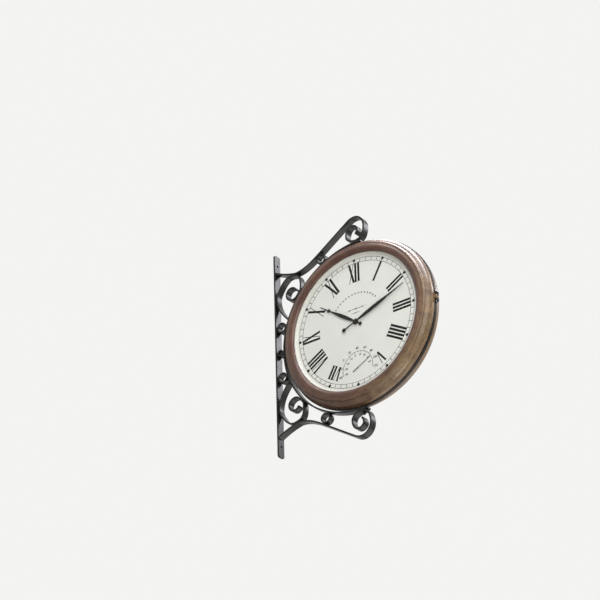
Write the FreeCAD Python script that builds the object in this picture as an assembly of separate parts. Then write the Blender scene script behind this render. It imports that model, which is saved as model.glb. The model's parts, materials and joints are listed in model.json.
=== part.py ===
import FreeCAD, Part
import math
import os

# Double-sided station clock on a scrolled wall bracket. Millimetres.
# The wall is the plane x = 0, +X points away from it and +Z points up.
# The two dials face -Y (front) and +Y (rear). Depths of the case are measured
# from its middle plane y = 0 towards the viewer of the front dial.

V = FreeCAD.Vector
OVERRUN = 5.0            # how far a cutting tool passes the face that it cuts

# Fits
weld_gap = 0.15          # between bracket strips at a weld
fit_gap = 0.2            # between a piece and the seat that holds it
joint_gap = 0.3          # between the case ring and a closed bezel
run_gap = 0.06           # radial clearance of a turning fit

# Bracket
strip_t = 4.0            # thickness of the scrolled strips
strip_w = 16.0           # width of the scrolled strips
bar_t = 4.0              # wall bar thickness
bar_w = 19.0             # wall bar width
bar_end = 43.0           # wall bar beyond the foot of an arm
bar_corner_r = 5.0       # rounded corners of the wall bar
screw_hole_r = 3.0       # wall screw holes
screw_end = 25.0         # from an end of the wall bar to its screw hole
band_gap = 4.6           # between the case ring and the cradle band
band_t = 3.5             # thickness of the cradle band
band_end_x = 11.0        # how far the band runs past the clock axis
mid_ring_r = 7.7         # spacer ring at the height of the clock axis
wall_ring_r = 12.0       # the other two spacer rings on the wall bar
ring_wall = 3.0          # wall of every spacer ring

# Path of an arm: places in shares of the band radius, and headings in degrees
arm_foot_share = 0.997
arm_foot_heading = -30.0
arm_weld_shares = (-0.8564, 0.9013)
arm_weld_heading = -13.0
arm_slope_heading = 33.0
arm_ring_share = 1.06    # spacer ring, against the narrowest gap under the slope
arm_rise_shares = ((-0.8087, 0.8932, 2.0), (-0.5955, 0.9594, 29.0))
arm_slope_shares = ((-0.4705, 1.0366), (-0.1029, 1.2755))
arm_crook_shares = ((-0.0221, 1.2997, 0.0), (0.1029, 1.1615, -90.0))
arm_curl_shares = ((-0.1287, 1.0954, 90.0), (-0.0515, 1.2020, 0.0),
                   (0.0147, 1.1432, -90.0), (-0.0074, 1.0880, -120.0))

# Path of a C-scroll, in the same way
scroll_root_shares = (-0.9116, 0.3565, 136.0)
scroll_wall_share = 0.6653
scroll_rise_shares = (-1.0072, 0.8013, 55.0)
scroll_fall_shares = ((-0.7793, 0.8454, -50.0), (-0.7499, 0.7499, -90.0))
scroll_band_angle = 139.4
scroll_curl_shares = ((-0.8601, 0.5881, 180.0), (-0.9410, 0.6616, 90.0),
                      (-0.8748, 0.7352, 0.0), (-0.8160, 0.6947, -75.0))

# Case ring and the two studs that hang the case in the band
case_r = 190.5           # outer radius of the case ring
rib_w = 6.0              # width of the rib that shows between the bezels
rib_t = 12.5             # radial thickness of the rib
flange_w = 20.0          # width of the flange inside the rib
flange_t = 4.0           # radial thickness of the flange
stud_r = 2.0             # studs at twelve and six o'clock
stud_head_r = 4.1        # across the corners of the head, half
stud_head_h = 2.8
stud_end_l = 5.5         # stud length above the bracket strip
nut_r = 4.2              # domed nut, across the corners, half
nut_h = 3.6              # height of the hexagon of the domed nut
nut_dome_r = 3.2         # dome on the nut
sleeve_r = 4.0           # spacer sleeve between band and case

# Bezel, with depths stacked up from the middle plane
back_gap = 1.2           # from the middle plane to the back of a movement
dial_t = 1.0
hand_room = 4.6          # from the dial to the lens
lens_t = 1.6
lip_t = 1.0              # bezel lip in front of the lens
bead_rise = 5.0          # crest of the front bead above the lip
bezel_in = 1.5           # from the edge of the case ring to the bezel
bezel_wall = 6.0         # wall where it meets the case ring
bezel_skirt = 6.0        # straight inner wall next to the case ring
moulding_w = 7.8         # radial width of the outer moulding
moulding_bulge = 2.6     # how far it swells from a straight cone
cove_w = 2.7             # radial width of the hollow next to the outer moulding
cove_h = 4.4             # how far the hollow falls
cove_sag = 0.8           # how far it dips below a straight cone
ridge_w = 4.3            # radial width of the small ridge between hollow and bead
ridge_share = 0.58       # place of its top, from the bead
ridge_drop = 2.2         # from the crest of the bead to the top of the ridge
ridge_rise = 0.7         # top of the ridge above the end of the bead
ridge_fall = 2.2         # from the top of the ridge to the hollow
bead_w = 17.2            # radial width of the front bead
crest_share = 0.56       # place of its crest, from the lip
lens_cover = 3.3         # how far the lens reaches behind the lip
reveal_wall = 7.7        # cream reveal ring, at the lens
reveal_slope = 4.9       # how far its cone closes in towards the dial
dial_cover = 14.5        # how far the dial reaches behind the lip
dial_room = 2.5          # between the edge of the dial and the bezel

# Dial screws
dial_screw_n = 6
dial_screw_in = 3.4      # from the edge of the dial
dial_screw_r = 1.45
dial_screw_l = 6.5
dial_screw_head_r = 2.8
dial_screw_head_h = 1.8
dial_screw_phase = 30.0

# Hinges at three o'clock and the magnet catch at nine o'clock
hinge_out = 2.3          # from the case ring to a pin
pin_r = 0.9
pin_head_r = 1.5
pin_head_h = 0.8
knuckle_r = 2.0
knuckle_gap = 0.3        # between neighbouring knuckles
door_knuckle_h = 8.0
case_knuckle_h = 7.4
leaf_in = 4.5            # how deep a door leaf is let into the bezel
leaf_back = 0.6          # from the pin axis to the near face of a leaf
plate_t = 2.0            # hinge plate on the case ring
catch_r = 2.5
keeper_t = 1.5

# Movement
movement_wall = 1.5
ledge = 1.0              # ledge that carries the back cover
cover_t = 1.5
cover_in = 1.5           # how far the cover sits below the back rim
bush_wall = 1.32         # threaded bush through the dial
bush_l = 2.8
fixing_nut_w = 2.3       # from the bush to a corner of its nut
fixing_nut_t = 1.4
divider_clear = 1.28     # from the hour wheel to the divider under it
divider_t = 1.1
gear_top_gap = 4.08      # from the minute wheel to the top of the gear room
bay_wall = 0.6           # thin front wall behind the cell
bay_floor_t = 1.0        # wall under the cell
bay_spare = 0.3          # room behind the cell
cell_slack = 0.25        # between the cell and a contact
cell_r = 7.1             # AA cell
cell_l = 49.2
cell_nub_r = 2.75
cell_nub_l = 1.3
contact_t = 1.0
contact_w = 9.0
contact_h = 9.0
coil_r = 3.6             # drive coil
coil_flange_r = 4.2
coil_flange_t = 1.0
coil_l = 18.0
core_w = 3.0
core_out = 1.5           # core beyond the flanges
coil_side = 3.3          # from the coil to the side of the gear room
coil_front = 5.5         # from its axis to the front wall
coil_z = 5.0

# Motion work: 10 to 30 teeth, then 8 to 32 teeth, on one centre distance
tooth_module = 0.6
cannon_teeth = 10
minute_wheel_teeth = 30
minute_pinion_teeth = 8
hour_wheel_teeth = 32
tip_share = 0.7          # addendum in modules
root_share = 1.0         # dedendum in modules
tooth_root_share = 0.30  # half width of a tooth at its root, in pitches
tooth_tip_share = 0.13   # half width of a tooth at its tip, in pitches
gear_t = 1.4
hour_gear_t = 1.2
gear_gap = 0.3           # between the two gear planes
wall_clear = 0.6         # between the hour wheel and the front wall
arbor_r = 1.8            # minute arbor
arbor_pivot_r = 1.2
pipe_wall = 0.76         # hour pipe
wheel_arbor_r = 0.9
pivot_depth = 0.9        # pivot in the front wall
knob_r = 6.0
knob_t = 1.8
knob_notch_r = 0.8
knob_notch_n = 12
knob_clear = 0.2

# Hands
hand_t = 0.5
hour_hand_gap = 0.2      # from the bush to the hour hand
hand_gap = 0.7           # from the hour hand to the minute hand
arbor_tip = 0.3          # arbor in front of the minute hand
minute_tip_gap = 17.9    # from the tip of the minute hand to the reveal ring
minute_hand_tail = 31.8
minute_blob_r = 4.7
minute_boss_r = 6.0
minute_hand_angle = 68.8
hour_hand_share = 0.821  # of the minute hand
hour_hand_tail = 14.2
hour_blob_r = 3.9
hour_boss_r = 6.6
hour_hand_angle = 305.5
hand_stem_w = 3.0
minute_blade_shares = ((0.03, 0.012), (0.34, 0.033), (0.66, 0.0165))
minute_point_share = 0.006
hour_blade_shares = ((0.03, 0.013), (0.31, 0.036), (0.64, 0.015))
hour_point_share = 0.007
spade_place_share = 0.76
spade_half_l = 5.5
spade_half_w = 4.8

# Thermometer at six o'clock
thermo_place_share = 0.707   # of the way from the hand axis to the reveal ring
thermo_r = 18.0
thermo_depth = 7.0
thermo_wall = 0.8
needle_l = 36.5
needle_tail = 13.5
needle_w = 2.2
needle_tip_w = 0.9
needle_hub_r = 1.8
needle_t = 0.4
needle_up = 0.6          # from the dial to the needle
needle_cap = 0.2
needle_angle = 62.3      # clockwise from twelve
needle_arbor_r = 1.0
needle_hole_r = 1.6
bimetal_t = 0.5
bimetal_w = 4.0
bimetal_pitch = 2.8
bimetal_half_turns = 8   # before the half turn that runs out to the wall of the cup

# Values worked out from the sizes above
band_r = case_r + band_gap + band_t
axis_x = bar_t + 2 * weld_gap + 2 * mid_ring_r + band_r
arm_foot_z = arm_foot_share * band_r
bar_l = 2 * (arm_foot_z + bar_end)
screw_spacing = bar_l - 2 * screw_end
bezel_r = case_r - bezel_in
moulding_r = bezel_r - moulding_w
cove_r = moulding_r - cove_w
bead_r = cove_r - ridge_w
lip_r = bead_r - bead_w
crest_r = lip_r + crest_share * bead_w
lens_r = lip_r + lens_cover
reveal_front_r = lip_r - fit_gap
reveal_r = reveal_front_r + reveal_wall
reveal_back_r = reveal_front_r - reveal_slope
dial_r = lip_r + dial_cover
dial_screw_pcr = dial_r - dial_screw_in
catch_place_r = bezel_r - bezel_wall / 2
minute_hand_l = reveal_back_r - minute_tip_gap
hour_hand_l = hour_hand_share * minute_hand_l
thermo_z = -thermo_place_share * reveal_back_r
movement_t = bay_wall + fit_gap + 2 * cell_r + bay_spare
movement_w = cell_l + cell_nub_l + 2 * (cell_slack + contact_t + movement_wall)
touch_r = band_r + weld_gap + strip_t / 2
touch_wall_x = bar_t + weld_gap + strip_t / 2 - axis_x
joint_d = rib_w / 2 + joint_gap
movement_d = back_gap + movement_t
dial_d = movement_d + dial_t
lens_back_d = dial_d + hand_room
lens_front_d = lens_back_d + lens_t
lip_d = lens_front_d + lip_t
crest_d = lip_d + bead_rise
ridge_d = crest_d - ridge_drop
bead_d = ridge_d - ridge_rise
cove_d = ridge_d - ridge_fall
moulding_d = cove_d - cove_h
hinge_x = case_r + hinge_out
gear_centre = tooth_module * (cannon_teeth + minute_wheel_teeth) / 2
minute_wheel_tip_r = tooth_module * (minute_wheel_teeth / 2 + tip_share)
divider_top = tooth_module * (hour_wheel_teeth / 2 + tip_share) + divider_clear
movement_top = gear_centre + minute_wheel_tip_r + gear_top_gap + ledge + movement_wall
movement_bottom = divider_top + divider_t + 2 * (cell_r + fit_gap) + bay_floor_t
front_wall_d = movement_d - movement_wall
hour_gear_d1 = front_wall_d - wall_clear
hour_gear_d0 = hour_gear_d1 - hour_gear_t
minute_gear_d1 = hour_gear_d0 - gear_gap
minute_gear_d0 = minute_gear_d1 - gear_t
cover_d0 = back_gap + cover_in
cover_d1 = cover_d0 + cover_t
pipe_in_r = arbor_r + run_gap
pipe_r = pipe_in_r + pipe_wall
bush_r = pipe_r + run_gap + bush_wall
dial_hole_r = bush_r + fit_gap
fixing_nut_r = bush_r + fixing_nut_w
coil_d = front_wall_d - coil_front
coil_x = coil_side + coil_flange_r + ledge + movement_wall - movement_w / 2
bush_d = movement_d + bush_l
hour_hand_d0 = bush_d + hour_hand_gap
hour_hand_d1 = hour_hand_d0 + hand_t
minute_hand_d0 = hour_hand_d1 + hand_gap
minute_hand_d1 = minute_hand_d0 + hand_t


# Basic shapes. Case pieces are made round the clock axis and moved to it at the end.
def disc(r, d0, d1, x=0, z=0):
    return Part.makeCylinder(r, d1 - d0, V(x, -d0, z), V(0, -1, 0))


def tube(r_out, r_in, d0, d1, x=0, z=0):
    return disc(r_out, d0, d1, x, z).cut(disc(r_in, d0 - OVERRUN, d1 + OVERRUN, x, z))


def block(x0, x1, d0, d1, z0, z1):
    return Part.makeBox(x1 - x0, d1 - d0, z1 - z0, V(x0, -d1, z0))


def upright(r, z0, z1, x=0, d=0):
    return Part.makeCylinder(r, z1 - z0, V(x, -d, z0), V(0, 0, 1))


def hexagon(r, z0, z1):
    angles = [math.radians(a) for a in range(0, 361, 60)]
    corners = [V(r * math.cos(a), r * math.sin(a), z0) for a in angles]
    return Part.Face(Part.makePolygon(corners)).extrude(V(0, 0, z1 - z0))


def spun(edges):
    return Part.Face(Part.Wire(edges)).revolve(V(0, 0, 0), V(0, 1, 0), 360)


def lines(points):
    ends = [V(r, -d, 0) for r, d in points]
    return [Part.LineSegment(a, b).toShape() for a, b in zip(ends, ends[1:])]


def arc(start, middle, end):
    return Part.Arc(*[V(r, -d, 0) for r, d in (start, middle, end)]).toShape()


def merged(first, *others):
    shape = first
    for other in others:
        shape = shape.fuse(other)
    return shape.removeSplitter()


# Strips that follow a path of tangent arcs in the plane of the clock
def heading(angle):
    return V(math.cos(math.radians(angle)), 0, math.sin(math.radians(angle)))


def left_of(direction):
    return V(-direction.z, 0, direction.x)


def half_arc(start, direction, end):
    chord = end - start
    along = V(chord).normalize()
    turn = math.atan2(along.dot(left_of(direction)), along.dot(direction))
    middle = start + chord / 2 - left_of(along) * (chord.Length / 2 * math.tan(turn / 2))
    leaving = along * (2 * along.dot(direction)) - direction
    return [(start, direction), (middle, along), (end, leaving)]


def biarc(knot, following):
    start, angle0 = knot
    end, angle1 = following
    t0, t1 = heading(angle0), heading(angle1)
    chord = end - start
    slack = 2 * (1 - t0.dot(t1))
    reach = chord.dot(t0 + t1)
    if slack < 1e-6:
        length = chord.dot(chord) / (4 * chord.dot(t1))
    else:
        length = (math.sqrt(reach * reach + slack * chord.dot(chord)) - reach) / slack
    corner0 = start + t0 * length
    corner1 = end - t1 * length
    meeting = (corner0 + corner1) / 2
    return [half_arc(start, t0, meeting), half_arc(meeting, V(corner1 - corner0).normalize(), end)]


def curve(points):
    a, b, c = points
    bend = (b - a).normalize().cross((c - b).normalize()).Length
    if bend < 1e-5:
        return Part.LineSegment(a, c).toShape()
    return Part.Arc(a, b, c).toShape()


def strip(knots, thickness, width):
    arcs = [half for pair in zip(knots, knots[1:]) for half in biarc(*pair)]
    sides = []
    for offset in (thickness / 2, -thickness / 2):
        sides.append([[p + left_of(t) * offset for p, t in half] for half in arcs])
    near, far = sides
    edges = [curve(points) for points in near]
    edges.append(Part.LineSegment(near[-1][2], far[-1][2]).toShape())
    edges += [curve(points) for points in reversed(far)]
    edges.append(Part.LineSegment(far[0][0], near[0][0]).toShape())
    face = Part.Face(Part.Wire(Part.__sortEdges__(edges)))
    face.translate(V(0, -width / 2, 0))
    return face.extrude(V(0, width, 0))


def placed(shares):
    return [(V(x * band_r, 0, z * band_r), angle) for x, z, angle in shares]


def mirrored_pair(shape):
    return shape, shape.mirror(V(0, 0, 0), V(0, 0, 1))


# Wall bracket
def wall_bar():
    bar = Part.makeBox(bar_t, bar_w, bar_l, V(-axis_x, -bar_w / 2, -bar_l / 2))
    corners = [e for e in bar.Edges if abs(e.BoundBox.XLength - bar_t) < fit_gap]
    bar = bar.makeFillet(bar_corner_r, corners)
    for z in (-screw_spacing / 2, screw_spacing / 2):
        start = V(-axis_x - OVERRUN, 0, z)
        bar = bar.cut(Part.makeCylinder(screw_hole_r, bar_t + 2 * OVERRUN, start, V(1, 0, 0)))
    return bar


def arm_weld():
    x, z = arm_weld_shares
    return V(x * band_r, 0, z * band_r)


def stud_hole():
    return upright(stud_r + fit_gap, 0, case_r + band_r)


def upper_arm():
    foot = V(bar_t - axis_x - strip_t, 0, arm_foot_z)
    knots = [(foot, arm_foot_heading), (arm_weld(), arm_weld_heading)]
    knots += placed(arm_rise_shares)
    knots += placed([(x, z, arm_slope_heading) for x, z in arm_slope_shares])
    knots += placed(arm_crook_shares)
    knots.append((V(0, 0, touch_r), 180.0))
    knots += placed(arm_curl_shares)
    bar_side = Part.makeBox(axis_x, bar_w, bar_l, V(bar_t - 2 * axis_x, -bar_w / 2, -bar_l / 2))
    pierced = upright(stud_r + fit_gap, band_r, touch_r + OVERRUN)
    nut_seat = upright(nut_r + fit_gap, touch_r + strip_t / 2, touch_r + strip_t / 2 + nut_h)
    return strip(knots, strip_t, strip_w).cut(bar_side).cut(pierced).cut(nut_seat)


def upper_scroll():
    x, z, angle = scroll_root_shares
    knots = [(V(x * band_r, 0, z * band_r), angle)]
    knots.append((V(touch_wall_x, 0, scroll_wall_share * band_r), 90.0))
    knots += placed([scroll_rise_shares])
    under = left_of(heading(arm_weld_heading)) * (strip_t + weld_gap)
    knots.append((arm_weld() - under, arm_weld_heading))
    knots += placed(scroll_fall_shares)
    knots.append((heading(scroll_band_angle) * touch_r, scroll_band_angle + 90.0))
    knots += placed(scroll_curl_shares)
    return strip(knots, strip_t, strip_w).cut(disc(band_r, -strip_w, strip_w))


def cradle_band():
    band = tube(band_r, band_r - band_t, -strip_w / 2, strip_w / 2)
    open_side = block(band_end_x, 2 * band_r, -strip_w, strip_w, -2 * band_r, 2 * band_r)
    holes = upright(stud_r + fit_gap, -2 * band_r, 2 * band_r)
    return band.cut(open_side).cut(holes)


def spacer_ring(r, x, z):
    return tube(r, r - ring_wall, -strip_w / 2, strip_w / 2, x, z)


def wall_spacer_rings():
    x = bar_t + weld_gap + wall_ring_r - axis_x
    z = math.sqrt((band_r + weld_gap + wall_ring_r) ** 2 - x ** 2)
    rings = [spacer_ring(wall_ring_r, x, side * z) for side in (1, -1)]
    rings.append(spacer_ring(mid_ring_r, bar_t + weld_gap + mid_ring_r - axis_x, 0))
    return Part.makeCompound(rings)


def arm_spacer_rings():
    normal = left_of(heading(arm_slope_heading))
    x, z = arm_slope_shares[0]
    under_slope = V(x * band_r, 0, z * band_r).dot(normal) - strip_t / 2 - weld_gap
    ring_r = arm_ring_share * (under_slope - band_r - weld_gap) / 2
    centre_r = band_r + weld_gap + ring_r
    off_normal = math.acos((under_slope - ring_r) / centre_r)
    centre = heading(arm_slope_heading + 90.0 - math.degrees(off_normal)) * centre_r
    return Part.makeCompound([spacer_ring(ring_r, centre.x, side * centre.z) for side in (1, -1)])


# Case ring, its studs and the hinge plate
def pair_upright(shape):
    return Part.makeCompound(mirrored_pair(shape))


def case_ring():
    rib = tube(case_r, case_r - rib_t, -rib_w / 2, rib_w / 2)
    flange = tube(case_r - rib_t, case_r - rib_t - flange_t, -flange_w / 2, flange_w / 2)
    ring = merged(rib, flange)
    half_h = door_knuckle_h / 2 + knuckle_gap + case_knuckle_h + fit_gap
    flat = block(case_r - plate_t, case_r + OVERRUN, -rib_w, rib_w, -half_h, half_h)
    holes = upright(stud_r + fit_gap, -2 * case_r, 2 * case_r)
    magnet = disc(catch_r + fit_gap, -rib_w, rib_w, -catch_place_r)
    head_face = case_r - rib_t - flange_t
    head_seats = pair_upright(upright(stud_head_r + fit_gap, head_face - stud_head_h, head_face))
    return ring.cut(flat).cut(holes).cut(magnet).cut(head_seats)


def case_studs():
    inner = case_r - rib_t - flange_t
    shank = upright(stud_r, inner, touch_r + strip_t / 2 + stud_end_l)
    return pair_upright(merged(hexagon(stud_head_r, inner - stud_head_h, inner), shank))


def case_nuts():
    seat = touch_r + strip_t / 2
    nut = merged(hexagon(nut_r, seat, seat + nut_h), Part.makeSphere(nut_dome_r, V(0, 0, seat + nut_h)))
    return pair_upright(nut.cut(upright(stud_r, seat - OVERRUN, seat + stud_end_l)))


def case_sleeves():
    sleeve = upright(sleeve_r, case_r, band_r - band_t).cut(stud_hole())
    curved_seat = disc(case_r, -sleeve_r - OVERRUN, sleeve_r + OVERRUN)
    inside_band = disc(band_r - band_t, -sleeve_r - OVERRUN, sleeve_r + OVERRUN)
    return pair_upright(sleeve.cut(curved_seat).common(inside_band))


def case_hinge_plate():
    half_h = door_knuckle_h / 2 + knuckle_gap + case_knuckle_h
    plate = block(case_r - plate_t, case_r, -rib_w / 2, rib_w / 2, -half_h, half_h)
    knuckles = []
    for side in (1, -1):
        for z0 in (-half_h, half_h - case_knuckle_h):
            knuckle = upright(knuckle_r, z0, z0 + case_knuckle_h, hinge_x, side * joint_d)
            depths = sorted((side * (joint_d - knuckle_r), side * (joint_d - leaf_back)))
            web = block(case_r - plate_t, hinge_x, *depths, z0, z0 + case_knuckle_h)
            knuckles += [knuckle, web]
    bores = [upright(pin_r + run_gap, -bar_l, bar_l, hinge_x, side * joint_d) for side in (1, -1)]
    return merged(plate, *knuckles).cut(Part.makeCompound(bores))


def hinge_pins():
    half_h = door_knuckle_h / 2 + knuckle_gap + case_knuckle_h
    pins = []
    for side in (1, -1):
        shank = upright(pin_r, -half_h, half_h, hinge_x, side * joint_d)
        top = upright(pin_head_r, half_h, half_h + pin_head_h, hinge_x, side * joint_d)
        bottom = upright(pin_head_r, -half_h - pin_head_h, -half_h, hinge_x, side * joint_d)
        pins.append(merged(shank, top, bottom))
    return Part.makeCompound(pins)


def catch_magnet():
    return disc(catch_r, -rib_w / 2, rib_w / 2, -catch_place_r)


# One face of the clock: bezel, lens and dial
def leaf_web():
    depths = (joint_d + leaf_back, joint_d + knuckle_r)
    return block(bezel_r - leaf_in, hinge_x, *depths, -door_knuckle_h / 2, door_knuckle_h / 2)


def swelled(start, end, swell):
    slope = V(end[0] - start[0], end[1] - start[1], 0)
    outward = V(slope.y, -slope.x, 0).normalize() * swell
    return (start[0] + end[0]) / 2 + outward.x, (start[1] + end[1]) / 2 + outward.y


def bezel():
    inner_joint_r = bezel_r - bezel_wall
    lens_seat_r = lens_r + fit_gap
    reveal_seat_r = reveal_r + fit_gap
    inside = [(lip_r, lip_d), (lip_r, lens_front_d), (lens_seat_r, lens_front_d)]
    inside += [(lens_seat_r, lens_back_d), (reveal_seat_r, lens_back_d), (reveal_seat_r, dial_d)]
    inside += [(dial_r + dial_room, dial_d), (inner_joint_r, joint_d + bezel_skirt)]
    inside += [(inner_joint_r, joint_d), (bezel_r, joint_d)]
    foot, moulding_top = (bezel_r, joint_d), (moulding_r, moulding_d)
    cove_top, bead_end = (cove_r, cove_d), (bead_r, bead_d)
    ridge_top = (bead_r + ridge_share * ridge_w, ridge_d)
    edges = [arc(foot, swelled(foot, moulding_top, moulding_bulge), moulding_top)]
    edges.append(arc(moulding_top, swelled(moulding_top, cove_top, -cove_sag), cove_top))
    edges.append(arc(cove_top, ridge_top, bead_end))
    edges.append(arc(bead_end, (crest_r, crest_d), (lip_r, lip_d)))
    edges += lines(inside)
    shape = spun(edges).cut(leaf_web())
    shape = shape.cut(disc(catch_r + fit_gap, joint_d - OVERRUN, joint_d + keeper_t, -catch_place_r))
    screw_hole_d = movement_d + dial_screw_l + fit_gap
    for x, z in dial_screw_places():
        shape = shape.cut(disc(dial_screw_r + fit_gap, dial_d - OVERRUN, screw_hole_d, x, z))
    return shape


def hinge_leaf():
    half_h = door_knuckle_h / 2
    leaf = merged(leaf_web(), upright(knuckle_r, -half_h, half_h, hinge_x, joint_d))
    return leaf.cut(upright(pin_r + run_gap, -bar_l, bar_l, hinge_x, joint_d))


def catch_keeper():
    return disc(catch_r, joint_d, joint_d + keeper_t, -catch_place_r)


def lens():
    return disc(lens_r, lens_back_d, lens_front_d)


def reveal_ring():
    corners = [(reveal_r, dial_d), (reveal_r, lens_back_d)]
    corners += [(reveal_front_r, lens_back_d), (reveal_back_r, dial_d)]
    return spun(lines(corners + corners[:1]))


def dial_screw_places():
    angles = [math.radians(dial_screw_phase + 360.0 * i / dial_screw_n) for i in range(dial_screw_n)]
    return [(dial_screw_pcr * math.cos(a), dial_screw_pcr * math.sin(a)) for a in angles]


def dial():
    plate = tube(dial_r, dial_hole_r, movement_d, dial_d)
    plate = plate.cut(disc(needle_hole_r, movement_d - OVERRUN, dial_d + OVERRUN, 0, thermo_z))
    for x, z in dial_screw_places():
        plate = plate.cut(disc(dial_screw_r + fit_gap, movement_d - OVERRUN, dial_d + OVERRUN, x, z))
    return plate


def dial_screws():
    screws = []
    for x, z in dial_screw_places():
        head = disc(dial_screw_head_r, movement_d - dial_screw_head_h, movement_d, x, z)
        screws.append(merged(head, disc(dial_screw_r, movement_d, movement_d + dial_screw_l, x, z)))
    return Part.makeCompound(screws)


# Movement behind the dial
def cell_place():
    d = movement_d - bay_wall - fit_gap - cell_r
    return d, -(divider_top + divider_t + fit_gap + cell_r)


def movement_case():
    half = movement_w / 2
    inner = half - movement_wall
    body = block(-half, half, back_gap, movement_d, -movement_bottom, movement_top)
    open_d = back_gap - OVERRUN
    room = inner - ledge
    top = movement_top - movement_wall
    gear_room = block(-room, room, open_d, front_wall_d, -divider_top, top - ledge)
    cover_room = block(-inner, inner, open_d, cover_d1, -divider_top, top)
    bay_floor = cell_place()[1] - cell_r - fit_gap
    bay_top = -divider_top - divider_t
    bay = block(-inner, inner, open_d, movement_d - bay_wall, bay_floor, bay_top)
    body = body.cut(gear_room).cut(cover_room).cut(bay)
    body = merged(body, disc(bush_r, movement_d, bush_d))
    body = body.cut(disc(pipe_r + run_gap, back_gap, bush_d + OVERRUN))
    return body.cut(disc(wheel_arbor_r + run_gap, back_gap, front_wall_d + pivot_depth, 0, gear_centre))


def movement_cover():
    half = movement_w / 2 - movement_wall - fit_gap
    top = movement_top - movement_wall - fit_gap
    plate = block(-half, half, cover_d0, cover_d1, fit_gap - divider_top, top)
    plate = plate.cut(disc(arbor_pivot_r + run_gap, 0, cover_d1 + OVERRUN))
    return plate.cut(disc(wheel_arbor_r + run_gap, 0, cover_d1 + OVERRUN, 0, gear_centre))


def fixing_nut():
    nut = hexagon(fixing_nut_r, 0, fixing_nut_t)
    nut.rotate(V(0, 0, 0), V(1, 0, 0), 90)
    nut.translate(V(0, -dial_d, 0))
    return nut.cut(disc(bush_r + run_gap, dial_d - OVERRUN, dial_d + fixing_nut_t + OVERRUN))


def battery():
    d, z = cell_place()
    start = -(cell_l + cell_nub_l) / 2
    can = Part.makeCylinder(cell_r, cell_l, V(start, -d, z), V(1, 0, 0))
    nub = Part.makeCylinder(cell_nub_r, cell_nub_l, V(start + cell_l, -d, z), V(1, 0, 0))
    return merged(can, nub)


def battery_contacts():
    d, z = cell_place()
    inner = movement_w / 2 - movement_wall
    sides = (d - contact_w / 2, d + contact_w / 2, z - contact_h / 2, z + contact_h / 2)
    starts = (-inner, inner - contact_t)
    return Part.makeCompound([block(x, x + contact_t, *sides) for x in starts])


def drive_coil():
    top = coil_z + coil_l / 2
    bottom = coil_z - coil_l / 2
    winding = upright(coil_r, bottom, top, coil_x, coil_d)
    pieces = []
    for z0 in (bottom, top - coil_flange_t):
        pieces.append(upright(coil_flange_r, z0, z0 + coil_flange_t, coil_x, coil_d))
    core = (coil_x - core_w / 2, coil_x + core_w / 2, coil_d - core_w / 2)
    pieces.append(block(*core, coil_d + core_w / 2, bottom - core_out, top + core_out))
    for z0 in (bottom - core_out, top):
        pieces.append(block(*core, front_wall_d, z0, z0 + core_out))
    return merged(winding, *pieces)


def gear(teeth, d0, d1, z, first_tooth):
    pitch_r = tooth_module * teeth / 2
    tip_r = pitch_r + tip_share * tooth_module
    root_r = pitch_r - root_share * tooth_module
    corners = []
    for i in range(teeth):
        for r, side in ((root_r, -tooth_root_share), (tip_r, -tooth_tip_share),
                        (tip_r, tooth_tip_share), (root_r, tooth_root_share)):
            angle = math.radians(first_tooth + (i + side) * 360.0 / teeth)
            corners.append(V(r * math.cos(angle), -d0, z + r * math.sin(angle)))
    return Part.Face(Part.makePolygon(corners + corners[:1])).extrude(V(0, d0 - d1, 0))


def minute_arbor():
    cannon = gear(cannon_teeth, minute_gear_d0, minute_gear_d1, 0, 90.0)
    shaft = disc(arbor_r, minute_gear_d0, minute_hand_d1 + arbor_tip)
    return merged(cannon, shaft, disc(arbor_pivot_r, cover_d0, minute_gear_d0))


def hour_wheel():
    half_pitch = 180.0 / hour_wheel_teeth
    wheel = gear(hour_wheel_teeth, hour_gear_d0, hour_gear_d1, 0, 90.0 + half_pitch)
    pipe = merged(wheel, disc(pipe_r, hour_gear_d0, hour_hand_d1))
    return pipe.cut(disc(pipe_in_r, hour_gear_d0 - OVERRUN, hour_hand_d1 + OVERRUN))


def minute_wheel():
    half_pitch = 180.0 / minute_wheel_teeth
    wheel = gear(minute_wheel_teeth, minute_gear_d0, minute_gear_d1, gear_centre, -90.0 + half_pitch)
    pinion = gear(minute_pinion_teeth, minute_gear_d1, hour_gear_d1, gear_centre, -90.0)
    knob_d0 = cover_d0 - knob_clear - knob_t
    arbor = disc(wheel_arbor_r, knob_d0, front_wall_d + pivot_depth - run_gap, 0, gear_centre)
    return merged(wheel, pinion, arbor)


def set_knob():
    d1 = cover_d0 - knob_clear
    d0 = d1 - knob_t
    knob = tube(knob_r, wheel_arbor_r, d0, d1, 0, gear_centre)
    for i in range(knob_notch_n):
        turn = math.radians(360.0 * i / knob_notch_n)
        x, z = knob_r * math.cos(turn), gear_centre + knob_r * math.sin(turn)
        knob = knob.cut(disc(knob_notch_r, d0 - OVERRUN, d1 + OVERRUN, x, z))
    return knob


# Hands point at twelve when made, and are turned clockwise to their rest angles.
def flat(outline, d0, d1):
    corners = [V(x, -d0, z) for x, z in outline]
    return Part.Face(Part.makePolygon(corners + corners[:1])).extrude(V(0, d0 - d1, 0))


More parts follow.
